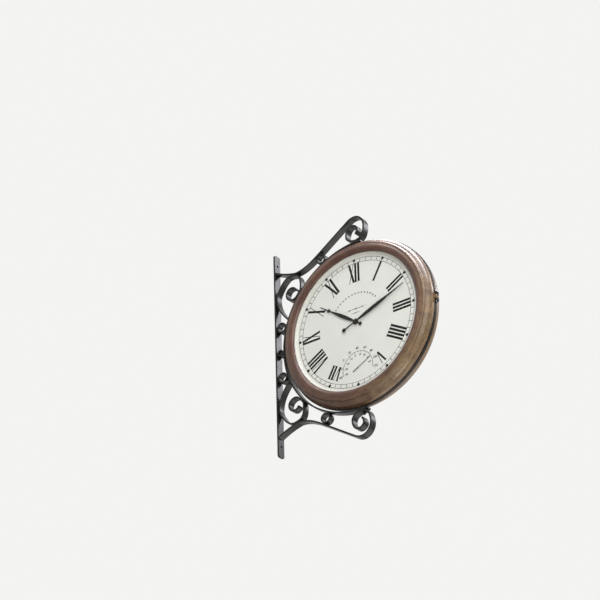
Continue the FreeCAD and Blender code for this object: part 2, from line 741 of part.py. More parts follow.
def blade(shares, point_share, length, d0, d1):
    (z0, w0), (z1, w1), (z2, w2) = [(z * length, w * length) for z, w in shares]
    tip_w = point_share * length
    edges = []
    for side in (1, -1):
        leaf = [V(side * w, -d0, z) for z, w in ((z0, w0), (z1, w1), (z2, w2))]
        edges.append(Part.Arc(*leaf).toShape())
        edges.append(Part.LineSegment(leaf[2], V(side * tip_w, -d0, length)).toShape())
    edges.append(Part.LineSegment(V(w0, -d0, z0), V(-w0, -d0, z0)).toShape())
    edges.append(Part.LineSegment(V(tip_w, -d0, length), V(-tip_w, -d0, length)).toShape())
    return Part.Face(Part.Wire(Part.__sortEdges__(edges))).extrude(V(0, d0 - d1, 0))


def hand(blade_shape, tail, blob_r, boss_r, bore_r, d0, d1):
    stem = block(-hand_stem_w / 2, hand_stem_w / 2, d0, d1, -tail, boss_r)
    shape = merged(blade_shape, stem, disc(boss_r, d0, d1), disc(blob_r, d0, d1, 0, -tail))
    return shape.cut(disc(bore_r, d0 - OVERRUN, d1 + OVERRUN))


def turned(shape, angle, z=0):
    shape.rotate(V(0, 0, z), V(0, 1, 0), angle)
    return shape


def minute_hand():
    depths = (minute_hand_d0, minute_hand_d1)
    leaf = blade(minute_blade_shares, minute_point_share, minute_hand_l, *depths)
    whole = hand(leaf, minute_hand_tail, minute_blob_r, minute_boss_r, arbor_r, *depths)
    return turned(whole, minute_hand_angle)


def hour_hand():
    depths = (hour_hand_d0, hour_hand_d1)
    leaf = blade(hour_blade_shares, hour_point_share, hour_hand_l, *depths)
    z = spade_place_share * hour_hand_l
    corners = [(0, z - spade_half_l), (spade_half_w, z), (0, z + spade_half_l), (-spade_half_w, z)]
    leaf = merged(leaf, flat(corners, *depths))
    whole = hand(leaf, hour_hand_tail, hour_blob_r, hour_boss_r, pipe_r, *depths)
    return turned(whole, hour_hand_angle)


# Thermometer
def thermo_case():
    back_d = movement_d - thermo_depth
    cup = disc(thermo_r, back_d, movement_d, 0, thermo_z)
    cup = cup.cut(disc(thermo_r - thermo_wall, back_d + thermo_wall, movement_d + OVERRUN, 0, thermo_z))
    return cup.cut(disc(needle_arbor_r + run_gap, back_d - OVERRUN, movement_d, 0, thermo_z))


def thermo_coil():
    inner_r = needle_arbor_r + run_gap + bimetal_t / 2
    radii = [inner_r + bimetal_pitch * i / 2 for i in range(bimetal_half_turns)]
    radii.append(thermo_r - thermo_wall - fit_gap - bimetal_t / 2)
    knots = []
    for i, r in enumerate(radii):
        side = 1 - 2 * (i % 2)
        knots.append((V(side * r, 0, 0), side * 90.0))
    coil = strip(knots, bimetal_t, bimetal_w)
    room = thermo_depth - thermo_wall
    coil.translate(V(0, room / 2 - movement_d, thermo_z))
    return coil


def thermo_needle():
    d0 = dial_d + needle_up
    d1 = d0 + needle_t
    half_w, half_tip = needle_w / 2, needle_tip_w / 2
    corners = [(-half_w, -needle_tail), (half_w, -needle_tail), (half_tip, needle_l), (-half_tip, needle_l)]
    arbor = disc(needle_arbor_r, movement_d - thermo_depth, d1 + needle_cap)
    needle = merged(flat(corners, d0, d1), disc(needle_hub_r, d0, d1), arbor)
    needle.translate(V(0, 0, thermo_z))
    return turned(needle, needle_angle, thermo_z)


# Writing the pieces: case pieces move out to the clock axis
def write(name, shape):
    shape.translate(V(axis_x, 0, 0))
    shape.exportStep("parts/" + name + ".step")


os.makedirs("parts", exist_ok=True)

upper, lower = mirrored_pair(upper_arm())
write("upper_arm", upper)
write("lower_arm", lower)
upper, lower = mirrored_pair(upper_scroll())
write("upper_c_scroll", upper)
write("lower_c_scroll", lower)
for make in (wall_bar, cradle_band, wall_spacer_rings, arm_spacer_rings, case_ring, case_studs, case_nuts,
             case_sleeves, case_hinge_plate, hinge_pins, catch_magnet):
    write(make.__name__, make())

# The door pieces of the rear face mirror those of the front; its movement and
# hands are the front ones turned half round, so that they read the right way.
for make in (bezel, hinge_leaf, catch_keeper, lens, reveal_ring, dial, dial_screws):
    piece = make()
    write("rear_" + make.__name__, piece.mirror(V(0, 0, 0), V(0, 1, 0)))
    write("front_" + make.__name__, piece)

for make in (movement_case, movement_cover, fixing_nut, battery, battery_contacts, drive_coil,
             minute_arbor, hour_wheel, minute_wheel, set_knob, minute_hand, hour_hand, thermo_case,
             thermo_coil, thermo_needle):
    piece = make()
    half_turned = piece.copy()
    half_turned.rotate(V(0, 0, 0), V(0, 0, 1), 180)
    write("front_" + make.__name__, piece)
    write("rear_" + make.__name__, half_turned)
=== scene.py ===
import json
import math
from collections import namedtuple
import bmesh
import bpy
from mathutils import Matrix, Vector


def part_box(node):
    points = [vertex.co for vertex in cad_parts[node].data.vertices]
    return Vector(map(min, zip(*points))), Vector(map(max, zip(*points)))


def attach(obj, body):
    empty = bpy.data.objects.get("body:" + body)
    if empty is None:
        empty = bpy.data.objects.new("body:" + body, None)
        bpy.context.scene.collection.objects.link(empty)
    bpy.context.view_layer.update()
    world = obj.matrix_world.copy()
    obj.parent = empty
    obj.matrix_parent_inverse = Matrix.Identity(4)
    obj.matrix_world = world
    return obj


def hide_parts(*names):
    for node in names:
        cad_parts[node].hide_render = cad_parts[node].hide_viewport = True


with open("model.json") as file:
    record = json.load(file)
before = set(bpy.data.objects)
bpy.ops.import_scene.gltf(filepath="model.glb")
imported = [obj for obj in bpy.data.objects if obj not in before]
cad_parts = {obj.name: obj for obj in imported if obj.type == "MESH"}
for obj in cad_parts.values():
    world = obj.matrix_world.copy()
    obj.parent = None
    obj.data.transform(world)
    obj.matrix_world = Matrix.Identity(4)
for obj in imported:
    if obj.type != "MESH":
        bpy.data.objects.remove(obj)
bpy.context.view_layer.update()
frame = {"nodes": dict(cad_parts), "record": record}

MM = 0.001
NODES = frame["nodes"]
RECORD = frame["record"]
SLOT_OF = {part["node"]: part["material_slot"] for part in RECORD["subparts"]}
BODY_OF = {node: body for body, nodes in RECORD["behaviour"]["bodies"].items() for node in nodes}
SIDES = {"front": 1, "rear": -1}


# Places read from the frame, in metres
def middle(node):
    low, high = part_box(node)
    return (low + high) / 2


def reach(node):
    low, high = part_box(node)
    return (high.x - low.x) / 2


AXIS_X = middle("front_dial").x
DIAL_D = -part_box("front_dial")[0].y
LENS_BACK_D = -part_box("front_lens")[1].y
LENS_FRONT_D = -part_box("front_lens")[0].y
MINUTE_HAND_D = -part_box("front_minute_hand")[0].y
JOINT_D = -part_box("front_bezel")[1].y
CREST_D = -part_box("front_bezel")[0].y
BEZEL_R = reach("front_bezel")
LENS_R = reach("front_lens")
DIAL_R = reach("front_dial")
REVEAL_R = reach("front_reveal_ring")
THERMO_Z = middle("front_thermo_case").z

# Bezel section: sizes that the boxes of the frame do not give
LIP_R = LENS_R - 3.3 * MM
LIP_D = LENS_FRONT_D + 1.0 * MM
MOULDING_W = 7.8 * MM         # outer moulding
MOULDING_BULGE = 2.6 * MM
COVE_W = 2.7 * MM             # hollow between the outer moulding and the ridge
COVE_H = 4.4 * MM
COVE_SAG = 0.8 * MM
RIDGE_W = 4.3 * MM            # small ridge outside the front bead
RIDGE_SHARE = 0.58
RIDGE_DROP = 2.2 * MM
RIDGE_RISE = 0.7 * MM
RIDGE_FALL = 2.2 * MM
CREST_SHARE = 0.56
EDGE_R = 0.8 * MM             # rounded edges at the lip and at the joint
BEZEL_WALL = 6.0 * MM
BEZEL_SKIRT = 6.0 * MM
FIT_GAP = 0.2 * MM
DIAL_ROOM = 2.5 * MM          # between the edge of the dial and the bezel
BEZEL_STEPS = 256             # round the circle
EDGE_STEPS = 4                # along each arc of the section
MOULDING_STEPS = 18
COVE_STEPS = 8
RIDGE_STEPS = 12
BEAD_STEPS = 28
VALLEY_STEPS = 4              # steps taken off ridge and bead, and put across the valley instead
BEZEL_SHARP = math.radians(40)

# Rounded copies of nodes
WELD_DISTANCE = 0.002 * MM
FLAT_ANGLE = math.radians(0.3)
SHARP_ANGLE = math.radians(30)
ROUNDING_STEPS = 2

# Cap on the minute hand
CAP_R = 3.4 * MM
CAP_H = 0.6 * MM
CAP_HOLE_R = 0.2 * MM
CAP_SHOULDER = (0.75 * CAP_R, 0.6 * CAP_H)    # radius and height of a point on the dome
CAP_STEPS = 48
DOME_STEPS = 8

# Print on the dial
MARK_R = 146.0 * MM           # circle of the square hour marks
MARK_W = 6.0 * MM
TRACK_SHARES = (0.952, 1.0115)
TRACK_LINE = 0.85 * MM
MINUTE_LINE = 1.1 * MM
NUMERAL_SHARES = (0.643, 0.953)
SHORT_SHARES = (0.693, 0.905)   # five and seven, which clear the thermometer
SHORT_HOURS = (5, 7)
STROKE_W = 5.2 * MM
HAIR_W = 1.5 * MM
STROKE_STEP = 7.7 * MM
X_HALF = 5.4 * MM
V_HALF = 5.2 * MM
V_STROKE_W = 4.3 * MM
LETTER_GAP = 2.2 * MM
SERIF_OUT = 1.1 * MM
SERIF_H = 0.6 * MM
HOUR_TURN = 30                # degrees
MINUTE_TURN = 6
NUMERALS = {1: "I", 2: "II", 3: "III", 4: "IIII", 5: "V", 7: "VII", 8: "VIII", 9: "IX", 10: "X",
            11: "XI", 12: "XII"}

# Thickness of the printed layer: where prints cross, one lies a little lower than the other
INK = 0.05 * MM
TICK_INK = 0.8 * INK
LINE_INK = 0.6 * INK
STROKE_INK_STEP = 0.04        # share of the layer by which each next stroke of an hour is lower

# Print of the thermometer
SCALE_R = 37.7 * MM
SCALE_HALF = 102.0            # degrees either side of twelve
SCALE_LINE = 0.8 * MM
SCALE_STEPS = 72
NUMBER_BOLD = 0.16 * MM       # how far the outlines of the numbers swell
FONT_SIZE_SHARE = 1.4         # font size for a number of height 1
NUMBER_FLAT = math.radians(1)

# A scale: its numbers, degrees from one to the next, ticks for each number, where long and short
# ticks end from the line, and radius and height of the numbers
Scale = namedtuple("Scale", "numbers step parts long short number_r number_h")
SCALES = (Scale(range(-40, 121, 20), 25.5, 4, 2.8 * MM, 1.5 * MM, 45.5 * MM, 5.4 * MM),
          Scale(range(-40, 41, 10), 22.95, 2, -2.6 * MM, -1.4 * MM, 30.0 * MM, 4.4 * MM))

# Plain ornament on the upper half of the dial
ARC_R = 67.0 * MM
ARC_STEP = 7.0                # degrees between two lozenges
ARC_HALF_COUNT = 7
LOZENGE_HALF = (1.6 * MM, 2.8 * MM)
DOT_HALF = 0.9 * MM
RULES = ((31.0 * MM, 33.0 * MM), (22.0 * MM, 14.0 * MM))   # height and half length of two rules
RULE_W = 1.7 * MM
RULE_LOZENGE = (2.4 * MM, 2.4 * MM)

# Camera: how the photograph looks at the clock
VIEW_AZIMUTH = 36.46
VIEW_ELEVATION = -28.77
VIEW_ROLL = -1.5
VIEW_DISTANCE = 6.0
VIEW_OFFSET = (127.3 * MM, -51.9 * MM)
VIEW_END = 100.0
FOCAL_PIXELS = 2880.5
FRAME_PIXELS = 600
SENSOR_W = 36.0

# Floor and surroundings
FLOOR_Z = -3.4
FLOOR_HALF = 30.0
FLOOR_TONE = (3.0, 4.0, (0.80, 0.80, 0.79), (0.84, 0.84, 0.83))
FLOOR_ROUGHNESS = 0.8
FLOOR_SHOWN = 0.85            # how much of its seen colour is the pale one
PALE = (0.90, 0.90, 0.89, 1.0)    # floor and surroundings as these kinds of ray see them
SHOWN_TO = ("Is Camera Ray", "Is Transmission Ray", "Is Glossy Ray")
AMBIENT = (0.95, 0.97, 1.0, 1.0)  # surroundings for all other rays
AMBIENT_STRENGTH = 0.22

# Lamps: place from the hand axis, size, power, direction of the first side, and tint
LEVEL = (1.0, 0.0, 0.0)
WARM = (1.0, 0.985, 0.96)
SKY = (0.93, 0.95, 1.0)
GROUND = (1.0, 0.97, 0.9)
LAMPS = {
    "key_light": ((1.9, -1.9, 0.45), (2.0, 2.0), 43.5, LEVEL, WARM),
    "overhead_light": ((0.45, 0.28, 1.95), (2.7, 0.64), 94.0, (2.35, -1.12, 0.0), SKY),
    "front_top_light": ((0.25, -0.85, 1.75), (2.0, 0.8), 25.0, LEVEL, SKY),
    "low_front_light": ((0.9, -1.3, -1.7), (0.8, 0.8), 11.0, LEVEL, WARM),
    "rear_light": ((1.15, 1.35, 1.1), (0.9, 0.7), 17.0, LEVEL, SKY),
    "low_rear_light": ((0.5, 1.4, -1.5), (2.0, 1.4), 15.0, LEVEL, GROUND)}


# Material helpers
NOISE_SPAN = (0.3, 0.7)       # where most of a noise lies


class Finish:
    """One material, with short calls for the nodes that these finishes share."""

    def __init__(self, name):
        self.material = bpy.data.materials.new(name)
        self.material.use_nodes = True
        self.tree = self.material.node_tree
        self.surface = self.tree.nodes["Principled BSDF"]
        self.output = self.tree.nodes["Material Output"]
        self.place = self.node("ShaderNodeTexCoord").outputs["Object"]

    def node(self, kind, **settings):
        made = self.tree.nodes.new(kind)
        for key, value in settings.items():
            setattr(made, key, value)
        return made

    def feed(self, socket, value):
        if isinstance(value, bpy.types.NodeSocket):
            self.tree.links.new(value, socket)
        else:
            socket.default_value = value

    def feed_all(self, made, values):
        for socket, value in zip(made.inputs, values):
            self.feed(socket, value)
        return made.outputs

    def set(self, **values):
        for key, value in values.items():
            self.feed(self.surface.inputs[key.replace("_", " ")], value)

    def math(self, operation, *values):
        return self.feed_all(self.node("ShaderNodeMath", operation=operation), values)[0]

    def vector(self, operation, *values):
        outputs = self.feed_all(self.node("ShaderNodeVectorMath", operation=operation), values)
        return outputs["Value" if operation in ("LENGTH", "DOT_PRODUCT") else "Vector"]

    def axis(self, letter):
        return self.feed_all(self.node("ShaderNodeSeparateXYZ"), [self.place])[letter]

    def spoke(self):
        """Vector from the hand axis in the plane of the dial, for marks that run round it."""
        flat = self.vector("MULTIPLY", self.place, (1, 0, 1))
        return self.vector("SUBTRACT", flat, (AXIS_X, 0, 0))

    def noise(self, scale, detail, rough=0.5, place=None):
        made = self.node("ShaderNodeTexNoise")
        self.feed(made.inputs["Vector"], place or self.place)
        self.feed(made.inputs["Scale"], scale)
        self.feed(made.inputs["Detail"], detail)
        self.feed(made.inputs["Roughness"], rough)
        return made.outputs["Fac"]

    def span(self, value, low, high, to_low=0.0, to_high=1.0):
        made = self.node("ShaderNodeMapRange")
        return self.feed_all(made, (value, low, high, to_low, to_high))["Result"]

    def blend(self, share, first, second):
        made = self.node("ShaderNodeMix", data_type="RGBA")
        self.feed(made.inputs["Factor"], share)
        colours = [s for s in made.inputs if s.type == "RGBA"]
        for socket, colour in zip(colours, (first, second)):
            self.feed(socket, (*colour, 1.0) if isinstance(colour, tuple) else colour)
        return [s for s in made.outputs if s.type == "RGBA"][0]

    def tone(self, scale, detail, dark, light):
        """A colour that a noise moves between two ends."""
        return self.blend(self.noise(scale, detail), dark, light)

    def uneven(self, scale, detail, low, high):
        """A value that a noise moves between two ends."""
        return self.span(self.noise(scale, detail), *NOISE_SPAN, low, high)

    def relief(self, height, depth, strength):
        made = self.node("ShaderNodeBump")
        self.feed(made.inputs["Height"], height)
        self.feed(made.inputs["Distance"], depth)
        self.feed(made.inputs["Strength"], strength)
        self.feed(self.surface.inputs["Normal"], made.outputs["Normal"])

    def mix_surface(self, share, first, second):
        """Makes the surface of two shaders, the second by a share."""
        shaders = (share, first.outputs[0], second.outputs[0])
        mixed = self.feed_all(self.node("ShaderNodeMixShader"), shaders)
        self.feed(self.output.inputs["Surface"], mixed[0])


# Plain finishes. Colour, roughness and relief each follow a noise, given by its scale and detail;
# then come the two ends of the colour or roughness, or the depth and strength of the relief.
MOULDED = (1800.0, 2.0, 0.08 * MM, 0.45)
PLAIN = {
    "bracket_black": dict(
        colour=(18.0, 4.0, (0.005, 0.005, 0.005), (0.013, 0.012, 0.011)),
        rough=(60.0, 5.0, 0.22, 0.33), relief=(900.0, 2.0, 0.10 * MM, 0.3),
        Specular_IOR_Level=0.28),
    "case_black": dict(
        colour=(30.0, 4.0, (0.006, 0.005, 0.005), (0.015, 0.013, 0.012)),
        rough=(140.0, 4.0, 0.32, 0.48), relief=(1200.0, 2.0, 0.10 * MM, 0.3),
        Specular_IOR_Level=0.2),
    "black_steel": dict(
        colour=(120.0, 4.0, (0.010, 0.010, 0.011), (0.035, 0.033, 0.032)),
        rough=(400.0, 4.0, 0.28, 0.45), relief=(1500.0, 3.0, 0.08 * MM, 0.4), Metallic=0.4),
    "zinc_steel": dict(
        colour=(90.0, 4.0, (0.50, 0.50, 0.48), (0.68, 0.67, 0.64)),
        rough=(350.0, 5.0, 0.26, 0.46), relief=(1800.0, 2.0, 0.05 * MM, 0.4), Metallic=1.0),
    "reveal_cream": dict(
        colour=(40.0, 5.0, (0.70, 0.68, 0.61), (0.76, 0.745, 0.69)),
        rough=(300.0, 3.0, 0.42, 0.58), relief=(1400.0, 2.0, 0.06 * MM, 0.4)),
    "hand_black": dict(
        colour=(200.0, 4.0, (0.005, 0.004, 0.003), (0.016, 0.012, 0.010)),
        rough=(500.0, 4.0, 0.45, 0.6), relief=(2200.0, 2.0, 0.03 * MM, 0.3),
        Specular_IOR_Level=0.2),
    "needle_brown": dict(
        colour=(300.0, 3.0, (0.045, 0.038, 0.030), (0.085, 0.072, 0.060)),
        rough=(600.0, 3.0, 0.35, 0.5), Metallic=0.3),
    "ink_black": dict(
        colour=(700.0, 3.0, (0.004, 0.004, 0.004), (0.013, 0.012, 0.011)),
        rough=(1500.0, 3.0, 0.55, 0.7), Specular_IOR_Level=0.15),
    "ink_grey": dict(
        colour=(900.0, 3.0, (0.045, 0.042, 0.039), (0.085, 0.080, 0.075)),
        rough=(1500.0, 3.0, 0.5, 0.65), Specular_IOR_Level=0.3),
    "movement_plastic": dict(
        colour=(60.0, 4.0, (0.012, 0.012, 0.013), (0.028, 0.028, 0.029)),
        rough=(500.0, 4.0, 0.42, 0.6), relief=MOULDED),
    "gear_plastic": dict(
        colour=(60.0, 4.0, (0.66, 0.65, 0.60), (0.76, 0.75, 0.71)),
        rough=(500.0, 4.0, 0.35, 0.5), relief=MOULDED),
    "knob_plastic": dict(
        colour=(60.0, 4.0, (0.30, 0.025, 0.02), (0.42, 0.04, 0.03)),
        rough=(500.0, 4.0, 0.35, 0.5), relief=MOULDED),
    "brass": dict(
        colour=(150.0, 4.0, (0.55, 0.37, 0.13), (0.72, 0.52, 0.22)),
        rough=(700.0, 4.0, 0.22, 0.42), relief=(1600.0, 3.0, 0.05 * MM, 0.4), Metallic=1.0)}


def plain(name, colour, rough, relief=None, **constants):
    f = Finish(name)
    f.set(Base_Color=f.tone(*colour), Roughness=f.uneven(*rough), **constants)
    if relief:
        scale, detail, depth, strength = relief
        f.relief(f.noise(scale, detail), depth, strength)
    return f.material


# Bronze paint of the bezels
# Painted light: the outer part of the rim is painted lighter and golder towards the lower right,
# where light and reflected colour fall on it.
PAINTED_LIGHT_SIDE = (0.85, 0.0, -0.53)     # direction of the side where the rim carries painted light
PAINTED_LIGHT_SPAN = (0.3, 1.0, 0.12, 0.95)
PAINTED_LIGHT_FROM = LIP_R + 6 * MM
PAINTED_LIGHT_TO = LIP_R + 22 * MM
BROWNS = ((0.060, 0.017, 0.008), (0.101, 0.039, 0.020))
# Colours of that painted light: lit bronze, and the paint's brush streaks and mottle lit up where
# the light falls.
PAINTED_LIGHT_BRONZE = (0.207, 0.134, 0.066)
STREAKS_IN_PAINTED_LIGHT = (0.295, 0.195, 0.100)
MOTTLE_IN_PAINTED_LIGHT = (0.295, 0.185, 0.080)
WORN = (0.054, 0.020, 0.012)
SHADED = (0.042, 0.016, 0.012)
PATCH_SPAN = (0.40, 0.62)
PAINTED_LIGHT_SHARE_SPAN = (0.0, 1.0, 0.2, 1.0)
STREAK_SPAN = (0.50, 0.66, 0.0, 0.55)
GOLD_SPAN = (0.51, 0.62, 0.0, 0.45)
WORN_SPAN = (0.48, 0.37, 0.0, 0.45)
SHADE_SPAN = (0.52, 0.40, 0.0, 0.30)
BRONZE_ROUGHNESS = (0.75, 1.3, 0.46, 0.30)
STREAK_SHARE, GRAIN_SHARE = 0.7, 0.3      # in the relief


def bezel_bronze():
    f = Finish("bezel_bronze")
    spoke = f.spoke()
    direction, radius = f.vector("NORMALIZE", spoke), f.vector("LENGTH", spoke)
    across = f.math("ADD", radius, f.math("ABSOLUTE", f.axis("Y")))

    def streak(along, crosswise):
        """Noise drawn out round the rim: steps per unit circle, and per metre across it."""
        ring = f.node("ShaderNodeCombineXYZ")
        f.feed(ring.inputs["Y"], f.math("MULTIPLY", across, crosswise))
        round_rim = f.vector("MULTIPLY", direction, (along, along, along))
        return f.noise(1.0, 4.0, 0.62, f.vector("ADD", round_rim, ring.outputs[0]))

    streaks = streak(3.0, 420.0)
    mottle = streak(9.0, 170.0)
    patches = f.noise(14.0, 5.0, 0.6)
    grain = f.noise(260.0, 4.0, 0.6)
    # Painted light on the lower right of the outer rim, which also brightens the streaks and mottle
    # there.
    light_side_share = f.span(f.vector("DOT_PRODUCT", direction, PAINTED_LIGHT_SIDE), *PAINTED_LIGHT_SPAN)
    outer = f.math("MULTIPLY", light_side_share, f.span(radius, PAINTED_LIGHT_FROM, PAINTED_LIGHT_TO))
    painted_light_share = f.span(outer, *PAINTED_LIGHT_SHARE_SPAN)
    colour = f.blend(f.span(patches, *PATCH_SPAN), *BROWNS)
    colour = f.blend(outer, colour, PAINTED_LIGHT_BRONZE)
    colour = f.blend(f.math("MULTIPLY", painted_light_share, f.span(streaks, *STREAK_SPAN)), colour, STREAKS_IN_PAINTED_LIGHT)
    colour = f.blend(f.math("MULTIPLY", painted_light_share, f.span(mottle, *GOLD_SPAN)), colour, MOTTLE_IN_PAINTED_LIGHT)
    colour = f.blend(f.span(mottle, *WORN_SPAN), colour, WORN)
    colour = f.blend(f.span(grain, *SHADE_SPAN), colour, SHADED)
    f.set(Base_Color=colour, Metallic=0.05)
    f.set(Roughness=f.span(f.math("ADD", streaks, grain), *BRONZE_ROUGHNESS))
    f.set(Specular_IOR_Level=0.36, Coat_Weight=0.28, Coat_Roughness=0.18)
    brushed = f.math("MULTIPLY", streaks, STREAK_SHARE)
    grainy = f.math("MULTIPLY", grain, GRAIN_SHARE)
    f.relief(f.math("ADD", brushed, grainy), 0.5 * MM, 0.35)
    return f.material


LENS_TINT = (0.985, 0.99, 0.985, 1.0)
LENS_IOR = 1.18
LENS_SMEARS = (0.4, 0.7, 0.01, 0.05)  # part of a noise, and the roughness that it gives


def lens_glass():
    """Clear sheet that mirrors a little, and only where a ray meets it from outside."""
    f = Finish("lens_glass")
    f.tree.nodes.remove(f.surface)
    clear = f.node("ShaderNodeBsdfTransparent")
    clear.inputs["Color"].default_value = LENS_TINT
    gloss = f.node("ShaderNodeBsdfGlossy")
    f.feed(gloss.inputs["Roughness"], f.span(f.noise(25.0, 4.0), *LENS_SMEARS))
    fresnel = f.node("ShaderNodeFresnel")
    fresnel.inputs["IOR"].default_value = LENS_IOR
    backfacing = f.node("ShaderNodeNewGeometry").outputs["Backfacing"]
    from_outside = f.math("SUBTRACT", 1.0, backfacing)
    f.mix_surface(f.math("MULTIPLY", from_outside, fresnel.outputs[0]), clear, gloss)
    return f.material


PAPER_TONES = ((0.795, 0.785, 0.74), (0.845, 0.835, 0.79))
EDGE_SHADE_TONE = (0.80, 0.78, 0.72)        # painted shade: paper darker and yellower towards the edge of the dial, in the bezel's recess
EDGE_SHADE_SPAN = (0.55 * MARK_R, 1.05 * MARK_R, 0.0, 0.35)


def dial_white():
    f = Finish("dial_white")
    fibres = f.noise(1600.0, 3.0, 0.6)
    clouds = f.span(f.noise(16.0, 5.0, 0.6), *NOISE_SPAN)
    paper = f.blend(clouds, *PAPER_TONES)
    # Painted shade of the bezel's recess, darkening the paper towards its edge.
    edge = f.span(f.vector("LENGTH", f.spoke()), *EDGE_SHADE_SPAN)
    f.set(Base_Color=f.blend(edge, paper, EDGE_SHADE_TONE))
    f.set(Roughness=f.span(fibres, *NOISE_SPAN, 0.55, 0.72), Specular_IOR_Level=0.3)
    f.relief(fibres, 0.03 * MM, 0.35)
    return f.material


WIRE_SCALE = 900.0
WIRE_TONES = ((0.30, 0.10, 0.04), (0.62, 0.27, 0.13))


def copper_wire():
    f = Finish("copper_wire")
    wave = f.node("ShaderNodeTexWave", bands_direction="Z")
    f.feed(wave.inputs["Vector"], f.place)
    f.feed(wave.inputs["Scale"], WIRE_SCALE)
    turns = wave.outputs["Fac"]
    f.set(Base_Color=f.blend(turns, *WIRE_TONES), Metallic=0.8)
    f.set(Roughness=f.uneven(600.0, 3.0, 0.25, 0.4))
    f.relief(turns, 0.1 * MM, 0.8)
    return f.material


CELL_CAP_L = 2.2 * MM
CELL_BAND_L = 9.0 * MM                # cap included
CELL_SLEEVE = (200.0, 3.0, (0.045, 0.11, 0.19), (0.065, 0.15, 0.25))
CELL_BAND = (0.45, 0.46, 0.47)
CELL_CAP = (0.62, 0.62, 0.60)


def cell_jacket():
    """A plain sleeve with a pale band and a bare metal cap at each end."""
    f = Finish("cell_jacket")
    off_axis = f.math("ABSOLUTE", f.math("SUBTRACT", f.axis("X"), AXIS_X))
    half = reach("front_battery")
    cap = f.math("GREATER_THAN", off_axis, half - CELL_CAP_L)
    band = f.math("GREATER_THAN", off_axis, half - CELL_BAND_L)
    striped = f.blend(band, f.tone(*CELL_SLEEVE), CELL_BAND)
    f.set(Base_Color=f.blend(cap, striped, CELL_CAP), Metallic=cap)
    f.set(Roughness=f.uneven(500.0, 3.0, 0.24, 0.38))
    return f.material


FINISHES = {name: plain(name, **look) for name, look in PLAIN.items()}
for make in (bezel_bronze, lens_glass, dial_white, copper_wire, cell_jacket):
    FINISHES[make.__name__] = make()


def dress(piece, finish):
    piece.data.materials.clear()
    piece.data.materials.append(FINISHES[finish])


for node, piece in NODES.items():
    dress(piece, SLOT_OF[node])


# New pieces
def add_object(name, data):
    made = bpy.data.objects.new(name, data)
    bpy.context.scene.collection.objects.link(made)
    return made


def add_piece(name, bm, finish, body, smooth=True):
    mesh = bpy.data.meshes.new(name)
    for face in bm.faces:
        face.smooth = smooth
    bm.to_mesh(mesh)
    bm.free()
    piece = add_object(name, mesh)
    dress(piece, finish)
    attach(piece, body)
    return piece


def rounded(node, width, finish=None):
    """Puts a copy of a node, with its sharp edges rounded, in the node's place."""
    bm = bmesh.new()
    bm.from_mesh(NODES[node].data)
    bmesh.ops.remove_doubles(bm, verts=bm.verts, dist=WELD_DISTANCE)
    bmesh.ops.dissolve_limit(bm, angle_limit=FLAT_ANGLE, verts=bm.verts, edges=bm.edges)
    paired = [edge for edge in bm.edges if len(edge.link_faces) == 2]
    sharp = [edge for edge in paired if edge.calc_face_angle() > SHARP_ANGLE]
    bmesh.ops.bevel(bm, geom=sharp, offset=width, segments=ROUNDING_STEPS, profile=0.5,
                    affect="EDGES", clamp_overlap=True)
    slot = SLOT_OF[node]
    piece = add_piece(node + "_rounded", bm, finish or slot, BODY_OF[node])
    piece.modifiers.new("weighted_normals", "WEIGHTED_NORMAL").keep_sharp = True
    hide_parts(node)


def arc_points(start, through, end, steps):
    """Points on the circle through three points, start and end included."""
    (ax, ay), (bx, by), (cx, cy) = start, through, end
    d = 2 * (ax * (by - cy) + bx * (cy - ay) + cx * (ay - by))
    a2, b2, c2 = ax * ax + ay * ay, bx * bx + by * by, cx * cx + cy * cy
    ux = (a2 * (by - cy) + b2 * (cy - ay) + c2 * (ay - by)) / d
    uy = (a2 * (cx - bx) + b2 * (ax - cx) + c2 * (bx - ax)) / d
    radius = math.hypot(ax - ux, ay - uy)
    first, between, last = (math.atan2(y - uy, x - ux) for x, y in (start, through, end))
    turn = (last - first) % math.tau
    if (between - first) % math.tau > turn:
        turn -= math.tau
    angles = [first + turn * i / steps for i in range(steps + 1)]
    return [(ux + radius * math.cos(a), uy + radius * math.sin(a)) for a in angles]


def lathe(section, steps, side):
    """Turns a closed section of (radius, depth) points about the hand axis."""
    bm = bmesh.new()
    rings = []
    for i in range(steps):
        c, s = math.cos(math.tau * i / steps), math.sin(math.tau * i / steps)
        rings.append([bm.verts.new((AXIS_X + r * c, -side * d, r * s)) for r, d in section])
    for near, far in zip(rings, rings[1:] + rings[:1]):
        for j in range(len(section)):
            k = (j + 1) % len(section)
            bm.faces.new((near[j], near[k], far[k], far[j]))
    bmesh.ops.recalc_face_normals(bm, faces=bm.faces)
    return bm


def swelled(start, end, swell):
    """Middle of a straight line between two points, moved outwards from the bezel."""
    slope = Vector(end) - Vector(start)
    outward = Vector((slope.y, -slope.x)).normalized() * swell
    return (Vector(start) + Vector(end)) / 2 + outward


